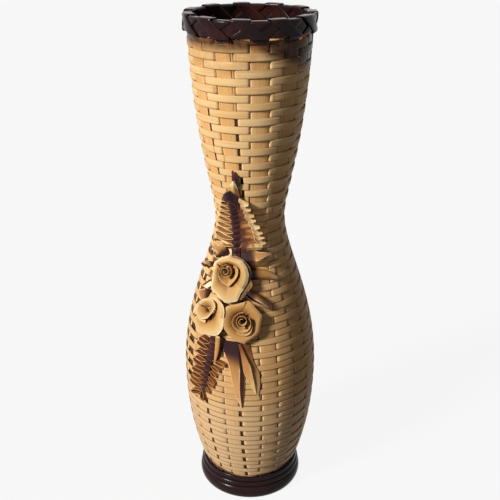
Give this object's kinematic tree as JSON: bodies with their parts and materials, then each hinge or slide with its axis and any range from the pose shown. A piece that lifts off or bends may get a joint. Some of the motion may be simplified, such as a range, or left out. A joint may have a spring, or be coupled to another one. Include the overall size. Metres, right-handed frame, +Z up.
{
  "type": "woven bamboo vase",
  "caption": "Tall waisted floor vase woven from split bamboo on a dark turned foot, with a laced lacquered rim and an applied spray of folded roses, leaves and ferns.",
  "frame": {"origin": "middle of the foot's flat underside, on the vase's own axis", "axes": "+Z up along the vase's axis, -Y towards the side that carries the spray, +X to the right as seen from that side"},
  "size_m": [0.1638, 0.1695, 0.6],
  "materials": {
    "stake_bamboo": "clear-varnished orange-tan bamboo slat",
    "weaver_bamboo": "clear-varnished golden bamboo splint, satin",
    "petal_bamboo": "pale varnished bamboo ribbon, satin",
    "leaf_bamboo": "scorched and varnished bamboo ribbon",
    "fern_bamboo": "scorched bamboo ribbon, brown at the rib and tan at the folds",
    "scorched_bamboo": "dark scorched bamboo, satin varnish",
    "dark_lacquer": "near-black red-brown gloss lacquer on wood and bamboo"
  },
  "bodies": {
    "root": {"turned_foot": "dark_lacquer", "foot_ring": "dark_lacquer", "stake_01": "stake_bamboo", "stake_02": "stake_bamboo", "stake_03": "stake_bamboo", "stake_04": "stake_bamboo", "stake_05": "stake_bamboo", "stake_06": "stake_bamboo", "stake_07": "stake_bamboo", "stake_08": "stake_bamboo", "stake_09": "stake_bamboo", "stake_10": "stake_bamboo", "stake_11": "stake_bamboo", "weaver_01": "weaver_bamboo", "weaver_02": "weaver_bamboo", "weaver_03": "weaver_bamboo", "weaver_04": "weaver_bamboo", "weaver_05": "weaver_bamboo", "weaver_06": "weaver_bamboo", "weaver_07": "weaver_bamboo", "weaver_08": "weaver_bamboo", "rim_hoop_inner": "dark_lacquer", "rim_hoop_outer": "dark_lacquer", "rim_wrap_under": "dark_lacquer", "rim_wrap_over": "dark_lacquer", "rose_upper_heart": "petal_bamboo", "rose_upper_inner_petal_1": "petal_bamboo", "rose_upper_inner_petal_2": "petal_bamboo", "rose_upper_outer_petal_1": "petal_bamboo", "rose_upper_outer_petal_2": "petal_bamboo", "rose_upper_outer_petal_3": "petal_bamboo", "rose_left_heart": "petal_bamboo", "rose_left_inner_petal_1": "petal_bamboo", "rose_left_inner_petal_2": "petal_bamboo", "rose_left_outer_petal_1": "petal_bamboo", "rose_left_outer_petal_2": "petal_bamboo", "rose_left_outer_petal_3": "petal_bamboo", "rose_right_heart": "petal_bamboo", "rose_right_inner_petal_1": "petal_bamboo", "rose_right_inner_petal_2": "petal_bamboo", "rose_right_outer_petal_1": "petal_bamboo", "rose_right_outer_petal_2": "petal_bamboo", "rose_right_outer_petal_3": "petal_bamboo", "leaf_right_1": "leaf_bamboo", "leaf_right_2": "leaf_bamboo", "leaf_right_3": "leaf_bamboo", "leaf_left_1": "leaf_bamboo", "leaf_left_2": "leaf_bamboo", "leaf_left_3": "leaf_bamboo", "leaf_left_4": "leaf_bamboo", "leaf_hanging_1": "leaf_bamboo", "leaf_hanging_2": "leaf_bamboo", "leaf_hanging_3": "leaf_bamboo", "fern_upper_rib": "scorched_bamboo", "fern_upper_fringe_left": "fern_bamboo", "fern_upper_fringe_right": "fern_bamboo", "fern_lower_rib": "scorched_bamboo", "fern_lower_fringe_left": "fern_bamboo", "fern_lower_fringe_right": "fern_bamboo"}
  },
  "joints": []
}
